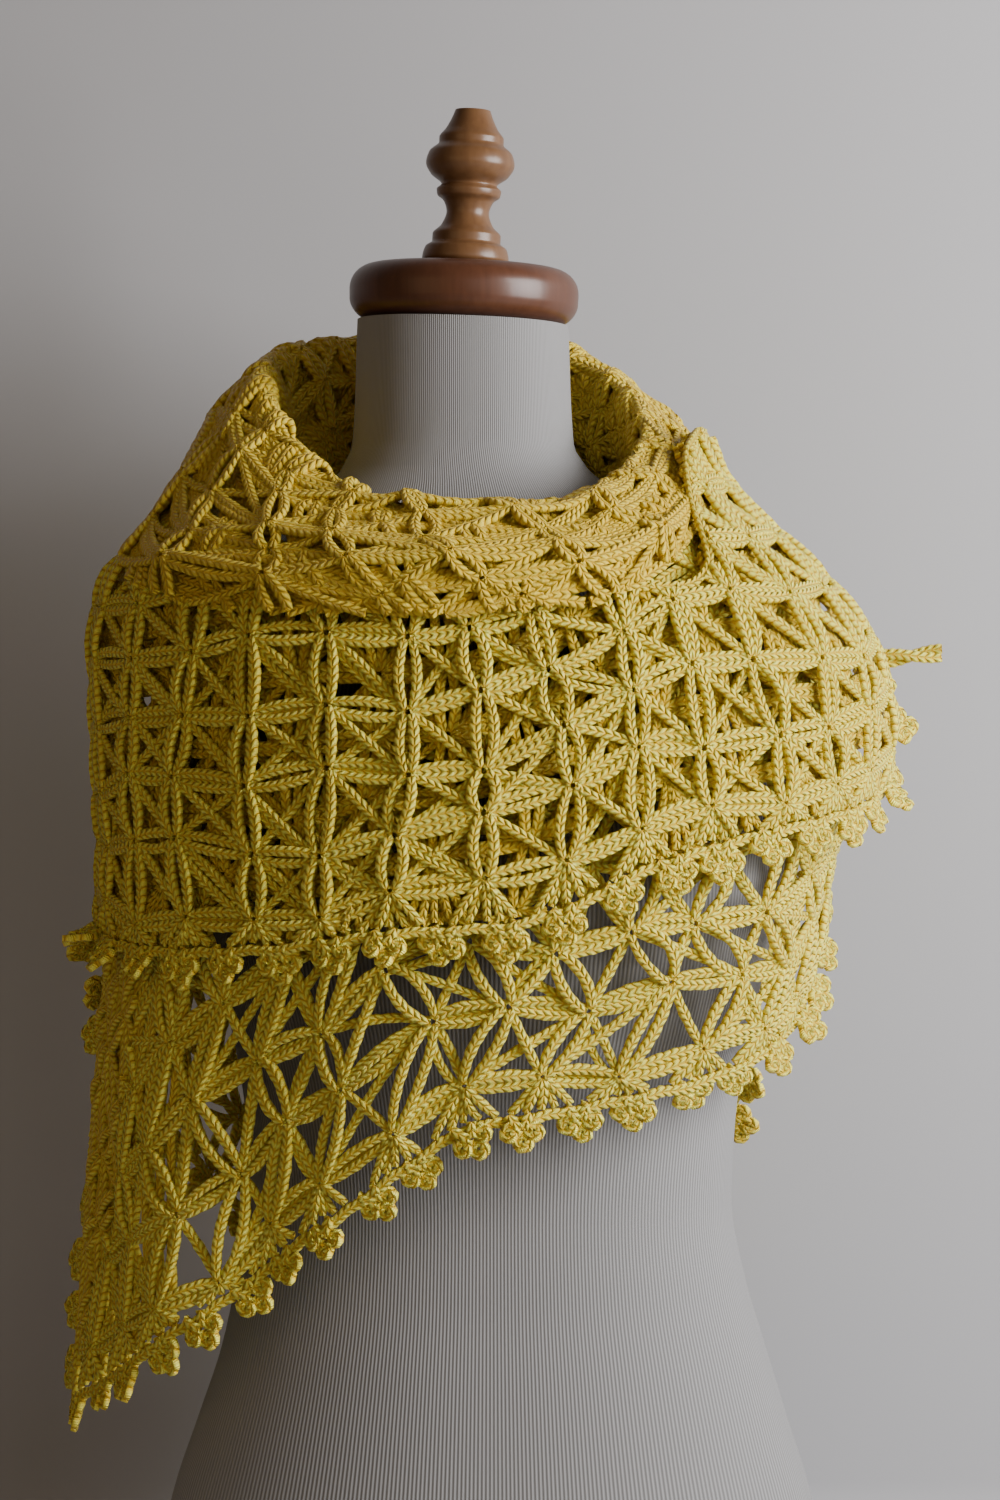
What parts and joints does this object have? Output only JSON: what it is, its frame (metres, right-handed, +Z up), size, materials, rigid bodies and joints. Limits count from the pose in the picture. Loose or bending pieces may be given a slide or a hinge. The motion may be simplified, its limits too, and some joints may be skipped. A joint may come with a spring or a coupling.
{
  "type": "crochet shawl on dress form",
  "caption": "Star-stitch crochet lace shawl with a picot border, wound round a limbless jersey dress form with a turned wooden cap and finial.",
  "frame": {"origin": "centre of the dress form's flat underside", "axes": "+Z up the form, -Y towards the front that the picture shows, +X towards the shoulder that the shawl's end lies on"},
  "size_m": [0.4759, 0.3158, 0.8503],
  "materials": {
    "jersey": "off-white fine ribbed jersey, matte",
    "varnished_wood": "brown varnish over a fine grain, glossy",
    "yellow_yarn": "yellow twisted yarn with a soft sheen"
  },
  "bodies": {
    "root": {"form_torso": "jersey", "neck_cap": "varnished_wood", "finial": "varnished_wood", "under_front": "yellow_yarn", "back_panel": "yellow_yarn", "over_front": "yellow_yarn", "neck_cowl": "yellow_yarn", "under_edging": "yellow_yarn", "side_edging": "yellow_yarn", "back_edging": "yellow_yarn", "over_edging": "yellow_yarn", "corner_tail": "yellow_yarn"}
  },
  "joints": []
}
